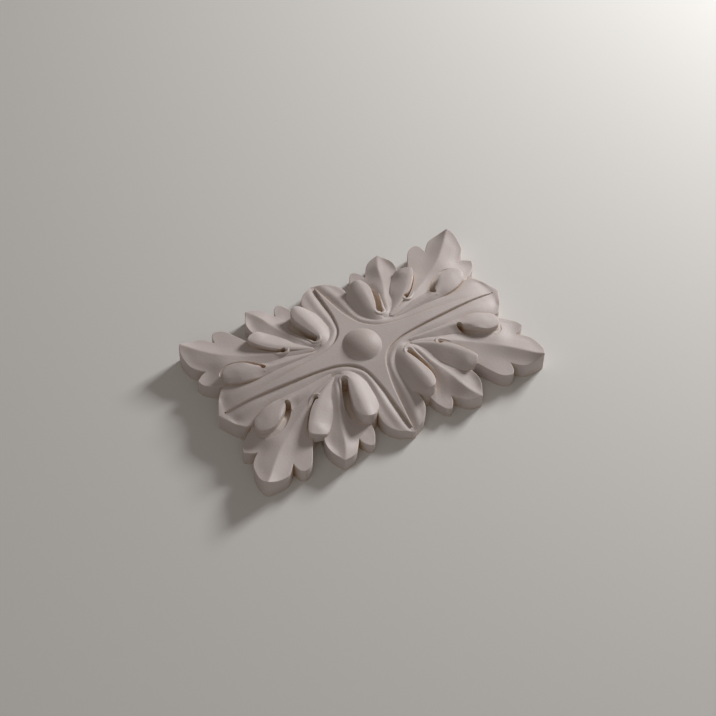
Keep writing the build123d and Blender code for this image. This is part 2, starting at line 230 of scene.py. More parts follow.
# The band: the rolled edge that runs beside the strap, out along the long and the short lobe
band = {
    "rim": 0.45, "bottom": -3,
    "plan": [
        [(-1.2, 66.4), (0, 66.74), (4, 64.9), (8.2, 62.9), (11, 60.4), (13.6, 57), (15.2, 53.2),
         (15.5, 49), (14.9, 45)],
        [(14.9, 45), (15, 30), (18, 22), (24, 15.4), (32, 12.4), (47, 12), (62, 12.2), (72, 13.2),
         (82, 15.4)],
        [(82, 15.4), (85, 16.9), (88, 17.4), (92, 16.9), (95, 14.2), (98.3, 9.8), (101, 4.8),
         (103.4, 0)],
        [(103.4, 0), (103, -0.9)],
        [(103, -0.9), (20, -0.9)],
        [(20, -0.9), (-1.2, -0.9)],
        [(-1.2, -0.9), (-1.2, 66.4)],
    ],
    "skin": [
        [(-2, 70, 6.6), (0.6, 70, 6.6), (5, 70, 6.8), (9, 69.5, 6.9), (14, 68.5, 6.8),
         (20, 67, 6.4)],
        [(-1, 64.6, 7.8), (0.8, 64.4, 7.7), (4.5, 64.2, 8.7), (8.5, 63, 8.9), (12.5, 62, 8.7),
         (19, 60.5, 8)],
        [(-1, 58.3, 8.8), (1.3, 58.2, 8.7), (5.6, 58.2, 10.2), (9.8, 57.6, 9.9), (13.6, 57, 10),
         (19, 56, 9.4)],
        [(-0.5, 51, 10.6), (2.3, 51, 10.6), (6.6, 51, 12.2), (10.8, 51, 11.7), (14.8, 51, 11.7),
         (19, 50, 11)],
        [(0, 44, 12.3), (3, 44, 12.3), (7.2, 44, 13.9), (11.2, 44, 13.4), (15, 44, 13.5),
         (19, 44, 12.8)],
        [(0.8, 37, 14.2), (4, 37, 14.3), (7.5, 37, 15.5), (10.7, 37, 15), (14.5, 37, 15),
         (18, 37, 14.6)],
        [(2, 30.4, 15.9), (4.9, 30.2, 16), (7.7, 30, 17), (10.7, 30, 16.4), (14.2, 30, 16.4),
         (17.5, 30, 16.2)],
        [(3.4, 24.6, 17.5), (6.2, 24.4, 17.6), (8.4, 24.2, 18.3), (11.3, 24, 17.8), (14.4, 24, 18),
         (17.5, 24, 18)],
        [(5.2, 18.4, 18.7), (7.8, 18.9, 18.9), (9.8, 19.3, 19.5), (12.7, 19.8, 18.9),
         (15.4, 20.6, 19.2), (18, 21.5, 19.2)],
        [(8.2, 14.2, 19.3), (10.3, 15, 19.5), (12.3, 16.2, 20.1), (14.8, 17, 19.5),
         (17.4, 18.5, 19.8), (20, 20.5, 20)],
        [(11.8, 10.4, 19.6), (13.5, 11.8, 19.8), (15.3, 13.4, 20.4), (17.5, 14.6, 20),
         (19.5, 16.5, 20.2), (22, 18.5, 20.2)],
        [(17, 7.2, 19.8), (18.3, 8.6, 20), (19.5, 10.2, 20.6), (21, 12.2, 20.4), (22.8, 14.6, 20.2),
         (25, 17, 20)],
        [(25, 4.6, 19.8), (25.8, 6.2, 20), (26.2, 8.6, 20.4), (26.8, 10.6, 19.6),
         (27.4, 12.4, 18.8), (28.5, 14.5, 18.6)],
        [(36, 3, 19.6), (36.2, 4.9, 19.8), (36.3, 6.6, 20.2), (36.4, 9.2, 19.5), (36.5, 11, 18.6),
         (36.6, 13, 18.3)],
        [(47, 1.9, 19.4), (47, 4.1, 19.6), (47, 6.6, 20.1), (47, 9.6, 19.3), (47, 11.4, 18.4),
         (47, 13.4, 18)],
        [(60, 0.8, 18.9), (60, 3.6, 19), (60, 6.8, 19.5), (60, 10, 18.8), (60, 11.8, 18),
         (60, 14, 17.6)],
        [(72, 0.2, 18.1), (72, 3, 18.2), (72, 6.8, 18.7), (72, 10.4, 17.6), (72, 12.6, 16.6),
         (72, 15, 16)],
        [(82, -0.4, 17.1), (82, 2.2, 17.2), (82, 6.6, 17.6), (82, 10.6, 16.9), (82, 14.8, 15.7),
         (82, 19, 15)],
        [(90, -1, 15.7), (90, 1.6, 15.7), (90, 6.4, 16), (90, 11, 15.5), (90.3, 15.6, 15.2),
         (91, 20, 15)],
        [(97, -1.5, 13.9), (97, 0.8, 14), (96.5, 5.2, 14.2), (95.6, 9.8, 14.1), (94.8, 14, 14.9),
         (94, 19, 15)],
        [(101.5, -2, 13.4), (101.4, 0.4, 13.9), (100, 5.4, 14.1), (98.4, 10.6, 14.4),
         (97, 15, 14.8), (96, 20, 14.8)],
        [(107, -2, 12.6), (107, 0.6, 13.2), (106, 7, 13.4), (104, 13, 13.6), (102, 18, 13.8),
         (100, 22, 14)],
    ],
}
forms.append(skinForm("band", band))

# The middle leaf: one sharp crest, and a small side lobe towards the short lobe
middleLeaf = {
    "rim": 0.45, "bottom": -3, "crest": 3, "stemRows": 4,
    "plan": [
        [(21, 10), (34, 12.5), (42, 22), (50, 36), (54.2, 47.5)],
        [(54.2, 47.5), (54.9, 50.5), (55, 54.3), (54.2, 58.1), (52.2, 62.2), (50, 66.3)],
        [(50, 66.3), (46, 65.9), (42, 64.8), (39, 62.4), (36.5, 59.2), (33.6, 55.3)],
        [(33.6, 55.3), (32.9, 58.4), (31.1, 61.4), (28.5, 63.2), (26, 61.9), (24.2, 59),
         (22.6, 55.6), (21.6, 51.5), (21, 47)],
        [(21, 47), (22, 30), (21, 10)],
    ],
    "skin": [
        [(22.8, 21, 18.2), (22.7, 18.6, 20), (22.5, 16.4, 20.9), (22.3, 14.6, 21.1),
         (22.1, 13.2, 20.7), (22, 11.8, 20.3), (21.9, 9, 19.6)],
        [(23.4, 21.2, 17.8), (24.5, 18.6, 19.6), (25.4, 16.5, 20.5), (26.2, 15, 20.8),
         (27, 13.8, 20.3), (27.8, 12.6, 19.9), (29.4, 10.4, 19.4)],
        [(24, 21.4, 17.2), (26, 19.8, 18.9), (27.7, 18.7, 19.9), (29.2, 17.8, 20.1),
         (30.6, 17, 19.8), (32.2, 16.2, 19.6), (35, 14.8, 19.2)],
        [(24.8, 22.9, 15.6), (27, 22.3, 17.4), (29, 21.8, 18.8), (30.6, 21.4, 19.3),
         (32.2, 21, 18.9), (34.2, 20.4, 18.8), (37.4, 19.4, 18.6)],
        [(26, 26.2, 13.8), (28.2, 25.9, 15.6), (30.3, 25.5, 17.5), (32, 25.2, 18.1),
         (33.8, 24.8, 17.7), (36, 24.2, 17.4), (39.5, 23.2, 17.2)],
        [(27.5, 30.5, 12.8), (29.6, 30.2, 14.2), (31.8, 29.8, 16.2), (33.7, 29.4, 16.8),
         (35.9, 29, 16.2), (38.2, 28.4, 15.9), (42, 27.4, 15.8)],
        [(28.5, 35.5, 12.2), (31, 35, 13.2), (33.6, 34.5, 14.9), (35.9, 34, 15.6),
         (38.6, 33.4, 14.9), (41.2, 32.8, 14.7), (45.5, 31.8, 14.8)],
        [(28.5, 41, 11.4), (31.5, 40.4, 12.3), (35, 39.7, 14.1), (38.2, 39, 14.8),
         (41.5, 38.2, 14.2), (44.6, 37.4, 14), (49.5, 36.2, 14.2)],
        [(27, 47, 10), (31, 46.4, 10.7), (35.8, 45.4, 12.7), (40.3, 44.5, 14.1), (44.3, 43.7, 13.5),
         (48.2, 43, 13.2), (53.5, 41.8, 13.4)],
        [(24, 52.5, 9), (29, 51.8, 9.2), (35.2, 50.8, 10.7), (41.9, 49.6, 13.5), (46.5, 48.8, 12.8),
         (50.8, 48, 12.4), (56, 46.8, 13.2)],
        [(22, 58, 8.7), (28, 57.6, 8.7), (35.8, 56.6, 9.4), (43.6, 55, 13), (48.4, 54, 12),
         (52.2, 53.2, 11.9), (57, 52.2, 13.6)],
        [(22, 63, 8.5), (29, 62.6, 8.5), (38.2, 61.8, 9.8), (46.2, 60.5, 12.2), (50, 59.5, 11.6),
         (52.8, 58.8, 12), (57, 57.4, 13.4)],
        [(24, 69, 8.2), (32, 69, 8.4), (42, 68, 9.6), (49.7, 66.4, 11.4), (52, 65.6, 11.4),
         (54.2, 64.6, 11.8), (57.4, 63, 12.6)],
        [(26, 74, 8), (35, 74, 8.2), (45, 73, 9), (53, 71.4, 10.6), (55, 70.4, 10.8),
         (57, 69.6, 11), (60, 68, 11.6)],
    ],
}
forms.append(skinForm("middleLeaf", middleLeaf))

# The corner leaf: the largest leaf, its crest runs out to the corner tip
cornerLeaf = {
    "rim": 0.45, "bottom": -3, "crest": 3, "stemRows": 6,
    "plan": [
        [(22.4, 10.4), (27, 11.2), (40, 12.4), (60, 11.4), (84, 12)],
        [(84, 12), (90.8, 18.9), (92.8, 20), (97.3, 23.4), (100.7, 27), (102.1, 31.1)],
        [(102.1, 31.1), (98.2, 34), (94.7, 35.4)],
        [(94.7, 35.4), (99, 39.4), (101.8, 44), (103, 51.5), (102.3, 57), (100.2, 60.2)],
        [(100.2, 60.2), (95.5, 60.8), (90.2, 60.7), (85.8, 59.8), (82.4, 57.1), (79.1, 53.4)],
        [(79.1, 53.4), (78.7, 56.9), (77.6, 59.7), (75.5, 61.2), (72, 60.6), (68.5, 58.1),
         (65.5, 53.4), (62.4, 47.9), (60, 44), (54, 40)],
        [(54, 40), (44, 28), (36, 19), (27.4, 13.6), (22.4, 11.3)],
        [(22.4, 11.3), (22.4, 10.4)],
    ],
    "skin": [
        [(24.5, 15.5, 18.6), (26.4, 14.2, 19.3), (27.3, 13.3, 19.7), (28, 12.6, 19.9),
         (28.8, 11.8, 19.7), (29.8, 10.8, 19.3), (31.5, 9.2, 18.6)],
        [(30.5, 19, 18.2), (32, 17.2, 19), (33.1, 15.9, 19.6), (34, 14.7, 19.95),
         (34.9, 13.4, 19.65), (36, 12, 19.2), (37.6, 10, 18.5)],
        [(36, 22.6, 17.8), (37.8, 20.2, 18.7), (39, 18.4, 19.3), (40, 17, 19.7), (41.2, 15.4, 19.4),
         (42.6, 13.6, 18.9), (44.4, 11.2, 18.2)],
        [(41.4, 26, 17), (43.4, 23.2, 18), (44.8, 21.2, 18.75), (46, 19.6, 19.15),
         (47.4, 17.6, 18.8), (49.2, 15.2, 18.3), (51.2, 12.6, 17.6)],
        [(46.4, 30.4, 15.6), (48.8, 27, 16.9), (50.6, 24.4, 17.9), (52, 22.4, 18.4),
         (53.6, 20.1, 18), (55.6, 17.4, 17.5), (58, 14, 16.8)],
        [(50.6, 35.6, 14.4), (53.8, 31.4, 15.7), (56.2, 28.2, 16.8), (58, 25.7, 17.55),
         (60, 23, 17), (62.4, 19.8, 16.5), (65, 16.4, 16)],
        [(54.5, 41, 13.2), (58.4, 36.2, 14.4), (61.6, 32.2, 15.5), (64, 29.2, 16.5),
         (66.8, 26, 16.1), (70, 22.4, 15.8), (73.4, 18.6, 15.4)],
        [(57.5, 47, 11.8), (61.8, 42, 13), (66, 37.4, 14.1), (70, 33, 15.5), (74, 28.9, 15.6),
         (78, 25, 15.4), (82, 21, 15)],
        [(62, 54, 11.5), (67, 48.5, 12.1), (72, 43.2, 13.1), (77, 38, 15.1), (81.5, 33.3, 15.1),
         (86, 28.5, 14.3), (91, 23.4, 13)],
        [(68, 60, 11.6), (73, 54.6, 11.7), (78.6, 49.1, 12.4), (84, 43.5, 14.9), (88.5, 38.8, 13.7),
         (93, 34, 12.2), (98.6, 28, 11.8)],
        [(76, 66, 11.4), (81, 60.5, 11.7), (86, 55.3, 12.7), (91, 50.4, 15), (95.4, 45.6, 13.6),
         (99.5, 41.3, 12.5), (105, 35.5, 12.8)],
        [(84, 70, 11.6), (88.5, 65.2, 11.9), (92.7, 60.9, 13.1), (96.4, 56.4, 15.6),
         (99.6, 53, 14.2), (103.4, 49.2, 13.5), (108, 44.6, 13)],
        [(93, 75, 12.2), (96.4, 70.6, 12.9), (99.6, 66.4, 14.4), (102.4, 62.5, 17.2),
         (105.4, 59.2, 15.8), (108.6, 56, 14.6), (112, 52, 14)],
        [(99, 79, 12.6), (102, 75, 13.4), (105, 71.4, 15), (108, 68, 18), (111, 65, 16.4),
         (114, 62, 15), (117, 58, 14)],
    ],
}
forms.append(skinForm("cornerLeaf", cornerLeaf))

# The short bud: the fattest one, beside the short lobe
shortBud = {
    "rim": 0.45, "bottom": -3,
    "plan": [
        [(22.6, 20), (24.9, 27), (26.8, 33), (28.2, 39), (28.1, 43.5), (26.2, 47.6), (21.8, 49.4),
         (17.4, 48.1), (14.6, 45.6)],
        [(14.6, 45.6), (11.5, 42), (10.6, 36), (10.4, 28), (11, 21), (14, 15), (18, 12.4),
         (23, 12)],
        [(23, 12), (24, 16), (22.6, 20)],
    ],
    "skin": [
        [(17, 10.6, 19.4), (19, 11, 20), (20.8, 11.6, 20.2), (22.4, 12.4, 20.4), (23.8, 13, 20.2),
         (26, 13.6, 19.8)],
        [(13.6, 14.6, 18.8), (16.2, 14.8, 20), (18.6, 15.2, 20.8), (20.8, 15.8, 21.3),
         (22.6, 16.4, 21.1), (25, 17.2, 20.5)],
        [(10.8, 19.4, 17.8), (13.9, 19.4, 19.4), (17, 19.6, 21), (19.9, 20, 21.95),
         (22, 20.2, 21.7), (24.6, 20.6, 21)],
        [(9.4, 25, 16.8), (13, 25, 18.6), (16.6, 25, 20.8), (20.2, 25, 21.9), (23, 25, 21.6),
         (26.4, 25, 20.8)],
        [(9.2, 31, 15.3), (13, 31, 17.6), (17, 31, 20.2), (21.2, 31, 21.5), (24.2, 31, 21.15),
         (28, 31, 20.2)],
        [(9.6, 37, 14.2), (13.4, 37, 16.8), (17.6, 37, 19.6), (22, 37, 20.95), (25.4, 37, 20.5),
         (29.4, 37, 19.6)],
        [(10.4, 42, 12.8), (14.2, 42, 16), (18.2, 42.2, 18.8), (22.6, 42.4, 20.1), (26, 42.2, 19.8),
         (29.6, 42, 18.9)],
        [(11.6, 46, 11.8), (15.2, 46.2, 15.4), (18.8, 46.6, 18.3), (22.8, 47, 19.6),
         (25.8, 46.6, 19.3), (29, 46, 18.4)],
        [(13.6, 50, 11.4), (16.6, 50.2, 15.2), (19.6, 50.6, 17.9), (23, 50.8, 19.2),
         (25.8, 50.4, 18.9), (28.6, 49.6, 17.9)],
        [(15, 54, 10.4), (17.8, 54, 14.2), (20.4, 54.5, 17), (23.2, 55, 18.4), (25.8, 54.5, 18),
         (28.6, 54, 17)],
    ],
}
forms.append(skinForm("shortBud", shortBud))

# The middle bud: its blunt end hangs over the notch between the two leaves
middleBud = {
    "rim": 0.45, "bottom": 9, "stemRows": 4,
    "plan": [
        [(23.6, 11.3), (28.8, 12.7), (33.8, 14.4), (38.6, 17.2), (43, 19.8), (46, 21.8), (52.2, 27),
         (57, 33), (60.4, 38.2), (61.4, 41.4)],
        [(61.4, 41.4), (58.8, 43.8), (55, 45.4), (51.4, 46)],
        [(51.4, 46), (49, 44.6), (44, 39.4), (40, 33.4), (36.4, 27.4), (32.6, 21.8), (29.2, 17.4),
         (26.2, 14.3), (23.6, 12.1)],
        [(23.6, 12.1), (23.6, 11.3)],
    ],
    "skin": [
        [(25.6, 15.6, 19), (26.6, 14.6, 19.4), (27.4, 13.9, 19.75), (28.1, 13.3, 19.9),
         (28.7, 12.8, 19.8), (29.4, 12.2, 19.5), (30.6, 11, 19)],
        [(28.2, 19.6, 18.2), (29.6, 18, 19), (31, 16.8, 19.8), (32.2, 15.8, 20.2), (33, 15, 20.1),
         (33.9, 14.2, 19.7), (35.4, 12.8, 19)],
        [(31.2, 24, 17), (32.8, 22.2, 18.2), (34.8, 20, 19.6), (36.6, 18.4, 20.35),
         (37.6, 17.4, 20.3), (38.8, 16.4, 19.8), (40.6, 14.6, 19)],
        [(34, 28.6, 15.6), (35.8, 26.6, 16.8), (38.4, 24, 18.9), (40.8, 21.6, 20.3),
         (42, 20.6, 20.4), (43.6, 19.2, 20.1), (46, 17, 19.4)],
        [(37, 33.8, 14.4), (39, 31.6, 15.5), (42, 28.4, 17.9), (45, 25.2, 19.95),
         (46.8, 23.6, 20.1), (49, 21.6, 19.9), (52, 18.8, 19)],
        [(40.2, 39, 13.4), (42.3, 36.8, 14.5), (45.8, 33.2, 17), (49.4, 29.6, 19.35),
         (51.6, 27.6, 19.6), (54.4, 25, 19.3), (57.6, 22, 18.5)],
        [(43.6, 44, 12.6), (45.7, 41.8, 13.6), (49.4, 38, 16.5), (53.2, 34.2, 18.7),
         (55.6, 32, 18.95), (58.4, 29.4, 18.7), (61.6, 26.4, 17.8)],
        [(47, 48.4, 12), (49.2, 46.2, 13.6), (52.8, 42.4, 16.9), (56.6, 38.4, 18.4),
         (58.8, 36.4, 18.5), (61.4, 34, 18.2), (64.6, 31, 17)],
        [(50, 52, 11.4), (52.2, 50, 13.4), (55.8, 46.2, 16.3), (59.4, 42.6, 17.8),
         (61.4, 40.8, 17.9), (64, 38.4, 17.5), (67, 35.6, 16)],
        [(53, 56, 10.6), (55.2, 54, 12.6), (58.8, 50.4, 15.5), (62.4, 46.8, 17.1), (64.4, 45, 17.2),
         (67, 42.6, 16.8), (70, 39.8, 14.8)],
    ],
}
forms.append(skinForm("middleBud", middleBud))

# The long bud: an oval bud at the end of a long stem, beside the long lobe
longBud = {
    "rim": 0.45, "bottom": -3, "stemRows": 5,
    "plan": [
        [(24, 8.2), (33, 8.7), (40, 9.2), (47, 9.7), (54, 10), (60, 10), (68, 10.1), (74, 11),
         (80, 12.8), (86.4, 16.2)],
        [(86.4, 16.2), (88.3, 19.8), (88.2, 23.4), (86.2, 26.6), (82.4, 28), (78, 27.6), (73, 25),
         (68.2, 21.2), (64.4, 17.4)],
        [(64.4, 17.4), (62.6, 18.6), (62.4, 20.4), (60.6, 22.6)],
        [(60.6, 22.6), (54, 20.3), (47, 17.8), (40, 15.3), (33, 12.8), (24.4, 10.2)],
        [(24.4, 10.2), (24, 8.2)],
    ],
    "skin": [
        [(24, 7.4, 19.2), (24.2, 8.2, 19.5), (24.4, 8.7, 19.6), (24.6, 9.2, 19.7),
         (24.8, 9.7, 19.6), (25, 10.2, 19.4), (25.2, 11, 19)],
        [(33, 8, 19.2), (33, 9, 19.55), (33, 9.7, 19.85), (33, 10.4, 20), (33, 11.3, 19.8),
         (33, 12.3, 19.45), (33, 13.6, 18.9)],
        [(40, 8.4, 19.1), (40, 9.6, 19.5), (40, 10.5, 19.9), (40, 11.3, 20.1), (40, 12.8, 19.8),
         (40, 14.6, 19.3), (40, 16.4, 18.6)],
        [(47, 8.9, 19), (47, 10.2, 19.45), (47, 11.3, 20), (47, 12.2, 20.2), (47, 14.2, 19.8),
         (47, 16.8, 19), (47, 18.6, 18.2)],
        [(54, 9.2, 18.7), (54, 10.6, 19.3), (54, 12, 20.05), (54, 13.2, 20.35), (54, 15.8, 19.4),
         (54, 19.2, 17.5), (54, 21, 16.4)],
        [(60, 9, 18.3), (60, 10.6, 19.1), (60, 12.6, 20.15), (60, 14.6, 20.5), (60, 17.6, 18.2),
         (60, 21.6, 15.6), (60, 23.5, 14.6)],
        [(66, 8.8, 17.8), (66, 10.6, 18.8), (66, 13.4, 20.2), (66, 16.3, 20.8), (66, 18.3, 20.4),
         (66, 20.4, 18.6), (66, 24, 15.8)],
        [(72, 9.2, 17.9), (72, 11, 19.2), (72, 14.4, 20.4), (72, 18.2, 21), (72, 21.6, 20.85),
         (72, 25, 20.3), (72, 29, 19.2)],
        [(78, 10.6, 17.8), (78, 12.4, 19), (78, 16.4, 20.2), (78, 20.3, 20.75), (78, 24, 20.4),
         (78, 27.8, 19.4), (78, 31, 18)],
        [(83, 12.6, 16.8), (83, 14.4, 18.2), (83, 18.2, 19.5), (83, 22.2, 19.9), (83, 25.2, 19.6),
         (83, 28.2, 18.7), (83, 31, 16)],
        [(87, 14.2, 15.8), (87, 16, 17.4), (87, 19.6, 18.8), (87, 23.2, 19.1), (87, 25.4, 18.8),
         (87, 27.4, 18.1), (87, 30, 16.6)],
        [(91, 15.6, 13.6), (91, 17.4, 15.4), (91, 20.4, 17.2), (91, 23.4, 17.9), (91, 25.6, 17.6),
         (91, 27.6, 16.8), (91, 30, 15)],
    ],
}
forms.append(skinForm("longBud", longBud))

# Raised lips that wrap round the eyes and run on beside the gaps: paths of (x, y, height)
lips = {
    "width": 2.3, "rim": 1.1, "inside": 0.5, "endShare": 0.35, "longest": 0.9,
    "paths": [
        [(20.4, 24, 21.6), (20.5, 19.6, 22), (21.4, 16.8, 21.9), (23.7, 15.7, 21.5), (26.1, 16.7, 21),
         (27.3, 20.4, 19.7), (29.2, 25, 17.8), (31.4, 30.5, 15.9), (33.2, 37, 14)],
        [(43.4, 23.2, 20.1), (42.6, 21.2, 20.5), (43.6, 19.3, 20.5), (46, 18.8, 20.1), (48.6, 20.2, 19.3),
         (52.6, 23.6, 18.6)],
        [(66, 13.8, 19.9), (63.8, 13, 20.2), (61.4, 13.6, 20.1), (60.1, 15.6, 19.5), (60.3, 17.8, 18.4)],
    ],
}


def lipForm(path):
    # Half-round ribbon that follows a path and narrows at both ends
    run = smoothRun([Vector(p) for p in path], net["alongSteps"])
    left = []
    right = []
    for i, p in enumerate(run):
        along = (run[min(i + 1, len(run) - 1)] - run[max(i - 1, 0)]).to_2d().normalized()
        share = min(i, len(run) - 1 - i) / net["alongSteps"]
        half = lips["width"] / 2 * min(1.0, lips["endShare"] + (1 - lips["endShare"]) * share)
        left.append(p.to_2d() + Vector((-along.y, along.x)) * half)
        right.append(p.to_2d() - Vector((-along.y, along.x)) * half)
    around = left + right[::-1]
    loop = []
    for a, b in zip(around, around[1:] + around[:1]):
        loop.append(a)
        if (b - a).length > lips["longest"]:
            loop.append(a.lerp(b, 0.5))
    points = [tuple(p) for p in run]
    return castForm(anticlockwise(loop), lambda x, y: heightBeside(points, x, y), lips["rim"], -3,
                    lips["inside"])


for path in lips["paths"]:
    forms.append(makeObject("lip", lipForm(path)))

# The gaps beside the buds. A floor is a line of (x, y, height) along the gap's bottom.
shortGap = {
    "rim": 0.8,
    "plan": [
        [(21.9, 19.4), (22.4, 18.2), (24, 17.6), (25.6, 18.4), (27.6, 22.6), (29.8, 28), (31.4, 34),
         (31.8, 40), (30.2, 45.6)],
        [(30.2, 45.6), (28.2, 43.5), (28.2, 39), (26.8, 33), (24.9, 27), (22.6, 21.4),
         (21.9, 19.2)],
    ],
    "floor": [(22, 17, 12), (24, 20, 11.8), (27, 26, 12.4), (29.4, 34, 11.8),
              (30.2, 42, 11.8), (30.2, 48, 13)],
}
cutters.append(gapForm("shortGap", shortGap))

# The middle bud's gap is the narrowest
middleGap = {
    "rim": 0.8,
    "plan": [
        [(44, 21.8), (44.6, 20.6), (46.2, 20.6), (48.4, 22.4), (53, 26.8), (57.8, 32.6),
         (61.2, 37.6)],
        [(61.2, 37.6), (60, 37.8), (57, 33), (52.2, 27), (47, 23), (45, 22.8), (44, 21.8)],
    ],
    "floor": [(42, 20, 14), (45, 21.4, 14), (49, 23.6, 15.2), (54, 28.4, 15), (60, 36, 14),
              (64, 42, 13.8)],
}
cutters.append(gapForm("middleGap", middleGap))

# The long bud's gap is deep at the eye and shallow round the bud
longGap = {
    "rim": 0.8,
    "plan": [
        [(61, 16), (61.6, 18.6), (64.8, 23.4), (70, 28), (76, 31), (82.4, 31.4), (87.6, 29.2),
         (89.6, 25.6)],
        [(89.6, 25.6), (88.6, 24.4), (86.8, 27), (83.4, 27.9), (78, 27.5), (73, 25), (68.2, 21.2),
         (65, 17.6), (64.4, 14.8), (62.4, 14.2), (61, 16)],
    ],
    "floor": [(60, 13, 13), (63, 16.6, 12.8), (66, 20, 14), (70, 24.6, 15), (76, 28, 15.2),
              (82, 29, 14.6), (88, 28.4, 13.4)],
}
cutters.append(gapForm("longGap", longGap))

# The drilled eyes at the heads of the three gaps, and the pit where the strap's long arm ends
eyes = {
    "holes": [  # x, y, radius, height of the floor
        (98.4, 0, 0.55, 13.2), (23.7, 19.9, 1.7, 12.5), (45.3, 21.7, 1.2, 15.5), (62.9, 16.1, 1.5, 12.8),
    ],
    "around": 28,
    "bottom": [(0.35, 0.9), (0.75, 0.55), (1, 0)],  # rounded floor, as shares of the radius: out, down
    "flare": 1.12,
}


def drilledEye(x, y, radius, floor):
    # Round-bottomed blind hole
    mesh = bmesh.new()
    rings = [(out, floor - radius * down) for out, down in eyes["bottom"]] + [(eyes["flare"], cutterTop)]
    turns = [2 * math.pi * k / eyes["around"] for k in range(eyes["around"])]
    loops = [[mesh.verts.new((x + radius * out * math.cos(a), y + radius * out * math.sin(a), z))
              for a in turns] for out, z in rings]
    for low, high in zip(loops, loops[1:]):
        for k in range(eyes["around"]):
            n = (k + 1) % eyes["around"]
            mesh.faces.new((low[k], low[n], high[n], high[k]))
    mesh.faces.new(loops[0])
    mesh.faces.new(loops[-1])
    bmesh.ops.recalc_face_normals(mesh, faces=mesh.faces)
    return mesh


for hole in eyes["holes"]:
    cutters.append(makeObject("eye", drilledEye(*hole)))


def plainMesh(thing):
    # Turns what the modifiers make into the object's own mesh, and removes them
    bpy.context.view_layer.update()
    graph = bpy.context.evaluated_depsgraph_get()
    made = bpy.data.meshes.new_from_object(thing.evaluated_get(graph))
    thing.modifiers.clear()
    thing.data = made


def booleanWith(thing, others, operation):
    # Joins or cuts the object with others, which are used up
    group = bpy.data.collections.new("tools")
    for other in others:
        group.objects.link(other)
    step = thing.modifiers.new("join", "BOOLEAN")
    step.operation = operation
    step.operand_type = "COLLECTION"
    step.collection = group
    step.solver = "MANIFOLD"
    plainMesh(thing)
    for other in others:
        bpy.data.objects.remove(other)
    bpy.data.collections.remove(group)


rosette = forms[0]
booleanWith(rosette, forms[1:], "UNION")
booleanWith(rosette, cutters, "DIFFERENCE")
print("first quarter has", len(rosette.data.polygons), "faces")

# The strap: a flat four-armed star that narrows to a midrib along each lobe
strap = {
    "rim": 0.9, "round": 0.8, "inside": 1.2, "bottom": -3, "steps": 8,
    "side": [(97.4, 0.35), (90, 0.9), (80, 1.5), (70, 2.2), (60, 3), (45, 4.1), (35, 4.9), (25, 6.3),
             (18, 8.6), (13, 11.3), (9, 15.4), (6.4, 20.5), (4.6, 27), (3.1, 35), (2.1, 45), (1.2, 55),
             (0.45, 63)],
    # height by how far out a place lies, along the long arm and along the short one
    "alongX": [(0, 21.8), (30, 21.8), (45, 21.7), (60, 21), (70, 20.2), (80, 19), (90, 17.1),
               (97.4, 15), (110, 12)],
    "alongY": [(0, 21.8), (12, 21.2), (20, 19.7), (30, 17.2), (40, 14.8), (50, 12.6), (60, 10.3),
               (66.8, 8.7), (75, 6)],
}


def heightAlong(points, at):
    run = smoothRun([Vector(p) for p in points], strap["steps"])
    for p, q in zip(run, run[1:]):
        if at <= q.x:
            return p.y + (q.y - p.y) * (at - p.x) / (q.x - p.x)
    return run[-1].y


def strapHeight(x, y):
    return min(heightAlong(strap["alongX"], abs(x)), heightAlong(strap["alongY"], abs(y)))


def strapLoop():
    side = [Vector(p) for p in strap["side"]]
    arm = evenRun(side, strap["round"]) + [side[-1]]
    loop = arm + [Vector((-p.x, p.y)) for p in reversed(arm)]
    return loop + [Vector((-p.x, -p.y)) for p in arm] + [Vector((p.x, -p.y)) for p in reversed(arm)]


strapCast = makeObject("strap", castForm(strapLoop(), strapHeight, strap["rim"], strap["bottom"],
                                         strap["inside"]))

# The boss: a low dome in the middle, with a short skirt that sinks into the strap
boss = {"radius": 12.3, "rise": 5, "ground": 21.8, "skirt": 0.5, "bottom": 8, "rings": 22, "around": 96}


def bossForm():
    mesh = bmesh.new()
    ball = (boss["radius"] ** 2 + boss["rise"] ** 2) / (2 * boss["rise"])
    centre = boss["ground"] + boss["rise"] - ball
    widest = boss["radius"] + boss["skirt"]
    turns = [2 * math.pi * k / boss["around"] for k in range(boss["around"])]
    tip = mesh.verts.new((0, 0, centre + ball))
    rings = []
    for i in range(1, boss["rings"] + 1):
        r = widest * math.sin(math.pi / 2 * i / boss["rings"])
        z = centre + math.sqrt(ball ** 2 - r ** 2)
        rings.append([mesh.verts.new((r * math.cos(a), r * math.sin(a), z)) for a in turns])
    rings.append([mesh.verts.new((v.co.x, v.co.y, boss["bottom"])) for v in rings[-1]])
    for k in range(boss["around"]):
        n = (k + 1) % boss["around"]
        mesh.faces.new((tip, rings[0][k], rings[0][n]))
        for inner, outer in zip(rings, rings[1:]):
            mesh.faces.new((inner[k], outer[k], outer[n], inner[n]))
    mesh.faces.new(rings[-1])
    bmesh.ops.recalc_face_normals(mesh, faces=mesh.faces)
    return mesh


bossCast = makeObject("boss", bossForm())


def linear(code):
    # sRGB hex to linear colour
    parts = [int(code[i:i + 2], 16) / 255 for i in (1, 3, 5)]
    return [c / 12.92 if c <= 0.04045 else ((c + 0.055) / 1.055) ** 2.4 for c in parts] + [1.0]


def addNode(tree, kind, settings=None, links=None, out=0):
    # A key is an input's name or number, or else a property of the node. Gives back one output.
    node = tree.nodes.new(kind)
    for key, value in (settings or {}).items():
        if isinstance(key, int) or key in node.inputs:
            node.inputs[key].default_value = value
        else:
            setattr(node, key, value)
    for key, source in (links or {}).items():
        tree.links.new(source, node.inputs[key])
    return node.outputs[out] if node.outputs else node


